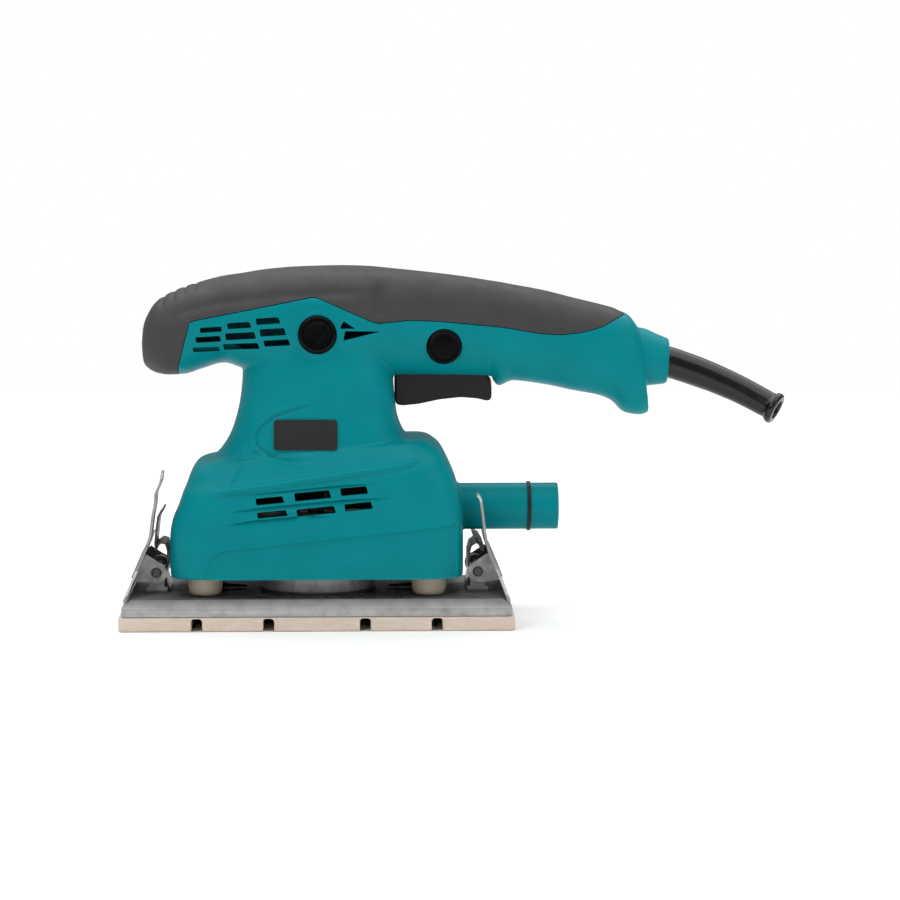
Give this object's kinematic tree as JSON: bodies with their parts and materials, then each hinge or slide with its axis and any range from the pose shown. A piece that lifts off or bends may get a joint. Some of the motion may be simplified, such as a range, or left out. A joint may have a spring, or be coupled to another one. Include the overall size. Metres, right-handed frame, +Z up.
{
  "type": "orbital sander",
  "caption": "Corded orbital finishing sander with a rectangular grooved pad, spring paper clamps, a dust spout, a front grip and a rear trigger handle.",
  "frame": {"origin": "centre of the pad's working face", "axes": "+X toward the rear handle and dust spout, +Z up from the pad, +Y toward the tool's right side"},
  "size_m": [0.3152, 0.093, 0.1687],
  "materials": {
    "teal_plastic": "satin moulded",
    "grip_rubber": "matte overmould",
    "badge_grey": "satin",
    "ring_rubber": "matte",
    "guard_rubber": "glossy",
    "black_plastic": "glossy",
    "brass": "drawn",
    "carbon": "pressed carbon",
    "steel": "machined",
    "trigger_plastic": "fine texture",
    "capacitor_film": "glossy",
    "laminated_steel": "stacked sheet",
    "copper": "varnished",
    "fan_plastic": "moulded",
    "cast_alloy": "rough cast",
    "pad_felt": "dense felt",
    "leg_rubber": "matte",
    "spring_steel": "black oxide",
    "zinc_steel": "zinc plated"
  },
  "bodies": {
    "housing": {"left_housing": "teal_plastic", "right_housing": "teal_plastic", "left_grip": "grip_rubber", "right_grip": "grip_rubber", "left_badge": "badge_grey", "right_badge": "badge_grey", "spout_ring": "ring_rubber", "cord_guard": "guard_rubber", "left_brush_cap": "black_plastic", "right_brush_cap": "black_plastic", "left_brush_holder": "brass", "right_brush_holder": "brass", "left_carbon_brush": "carbon", "right_carbon_brush": "carbon", "left_brush_spring": "steel", "right_brush_spring": "steel", "trigger_spring": "steel", "switch_body": "trigger_plastic", "capacitor": "capacitor_film", "field_core": "laminated_steel", "field_coil_lower": "copper", "field_coil_upper": "copper", "lower_bearing": "steel", "upper_bearing": "steel", "bearing_bracket": "cast_alloy", "housing_screw_1": "steel", "housing_screw_2": "steel", "housing_screw_3": "steel", "housing_screw_4": "steel", "housing_screw_5": "steel", "housing_screw_6": "steel"},
    "trigger": {"trigger": "trigger_plastic"},
    "lock_button": {"lock_button": "black_plastic"},
    "rotor": {"motor_shaft": "steel", "armature_core": "laminated_steel", "armature_winding_lower": "copper", "armature_winding_upper": "copper", "commutator": "copper", "cooling_fan": "fan_plastic", "eccentric": "steel"},
    "platen": {"base_plate": "cast_alloy", "sanding_pad": "pad_felt", "front_left_leg": "leg_rubber", "front_right_leg": "leg_rubber", "rear_left_leg": "leg_rubber", "rear_right_leg": "leg_rubber", "eccentric_bearing": "steel", "front_clamp_pin": "spring_steel", "rear_clamp_pin": "spring_steel", "front_clamp_spring": "spring_steel", "rear_clamp_spring": "spring_steel"},
    "front_clamp": {"front_clamp": "zinc_steel"},
    "rear_clamp": {"rear_clamp": "zinc_steel"}
  },
  "joints": [
    {"name": "rotor_spin", "type": "hinge", "parent": "housing", "child": "rotor", "pos_m": [-0.0008, 0, 0.05], "axis": [0, 0, 1], "continuous": true},
    {"name": "platen_orbit", "type": "hinge", "parent": "rotor", "child": "platen", "pos_m": [0, 0, 0.022], "axis": [0, 0, 1], "continuous": true},
    {"name": "front_clamp_hinge", "type": "hinge", "parent": "platen", "child": "front_clamp", "pos_m": [-0.076, 0, 0.0243], "axis": [0, 1, 0], "range_deg": [0, 9], "stiffness_Nm_per_rad": 1, "springref_deg": -20.05, "deforming": ["front_clamp_spring"]},
    {"name": "rear_clamp_hinge", "type": "hinge", "parent": "platen", "child": "rear_clamp", "pos_m": [0.076, 0, 0.0243], "axis": [0, 1, 0], "range_deg": [-9, 0], "stiffness_Nm_per_rad": 1, "springref_deg": 20.05, "deforming": ["rear_clamp_spring"]},
    {"name": "trigger_slide", "type": "slide", "parent": "housing", "child": "trigger", "axis": [0, 0, 1], "range_m": [0, 0.006], "stiffness_N_per_m": 500, "springref_m": -0.003, "deforming": ["trigger_spring"]},
    {"name": "lock_button_slide", "type": "slide", "parent": "housing", "child": "lock_button", "axis": [0, 1, 0], "range_m": [0, 0.003], "stiffness_N_per_m": 60, "springref_m": -0.002}
  ],
  "couplings": [
    {"joint": "platen_orbit", "follows": "rotor_spin", "ratio": -1}
  ]
}
